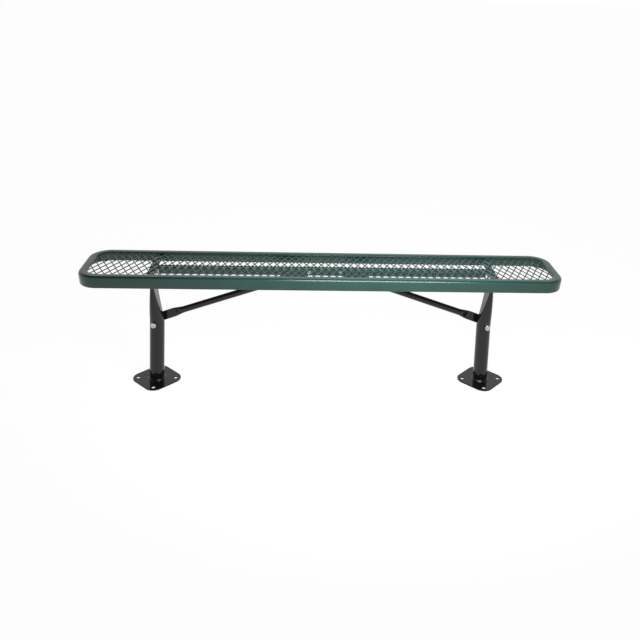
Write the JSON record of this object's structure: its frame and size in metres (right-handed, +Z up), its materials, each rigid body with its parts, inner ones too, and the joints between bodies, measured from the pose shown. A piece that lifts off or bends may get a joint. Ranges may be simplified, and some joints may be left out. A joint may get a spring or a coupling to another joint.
{
  "type": "backless bench",
  "caption": "Backless park bench with an expanded-metal seat in a rounded steel rim, on pipe legs with surface-mount foot plates and diagonal braces.",
  "frame": {"origin": "on the ground, under the middle of the seat", "axes": "+X along the seat, -Y towards the front, +Z up; the braces and the nuts of their bolts are on the +Y side"},
  "size_m": [1.829, 0.281, 0.472],
  "materials": {
    "seat_coating": "glossy dark green thermoplastic coating over steel",
    "leg_powder_coat": "glossy black powder coat over steel",
    "zinc_hardware": "bright zinc plate"
  },
  "bodies": {
    "root": {"seat_rim": "seat_coating", "seat_mesh": "seat_coating", "center_angle": "seat_coating", "left_cross_angle": "seat_coating", "right_cross_angle": "seat_coating", "left_leg_tube": "leg_powder_coat", "left_foot_plate": "leg_powder_coat", "left_foot_weld": "leg_powder_coat", "left_brace": "leg_powder_coat", "right_leg_tube": "leg_powder_coat", "right_foot_plate": "leg_powder_coat", "right_foot_weld": "leg_powder_coat", "right_brace": "leg_powder_coat", "left_brace_lower_bolt": "zinc_hardware", "left_brace_lower_washer": "zinc_hardware", "left_brace_lower_nut": "zinc_hardware", "left_brace_upper_bolt": "zinc_hardware", "left_brace_upper_washer": "zinc_hardware", "left_brace_upper_nut": "zinc_hardware", "left_leg_top_front_bolt": "zinc_hardware", "left_leg_top_front_washer": "zinc_hardware", "left_leg_top_front_nut": "zinc_hardware", "left_leg_top_back_bolt": "zinc_hardware", "left_leg_top_back_washer": "zinc_hardware", "left_leg_top_back_nut": "zinc_hardware", "right_brace_lower_bolt": "zinc_hardware", "right_brace_lower_washer": "zinc_hardware", "right_brace_lower_nut": "zinc_hardware", "right_brace_upper_bolt": "zinc_hardware", "right_brace_upper_washer": "zinc_hardware", "right_brace_upper_nut": "zinc_hardware", "right_leg_top_front_bolt": "zinc_hardware", "right_leg_top_front_washer": "zinc_hardware", "right_leg_top_front_nut": "zinc_hardware", "right_leg_top_back_bolt": "zinc_hardware", "right_leg_top_back_washer": "zinc_hardware", "right_leg_top_back_nut": "zinc_hardware"}
  },
  "joints": []
}
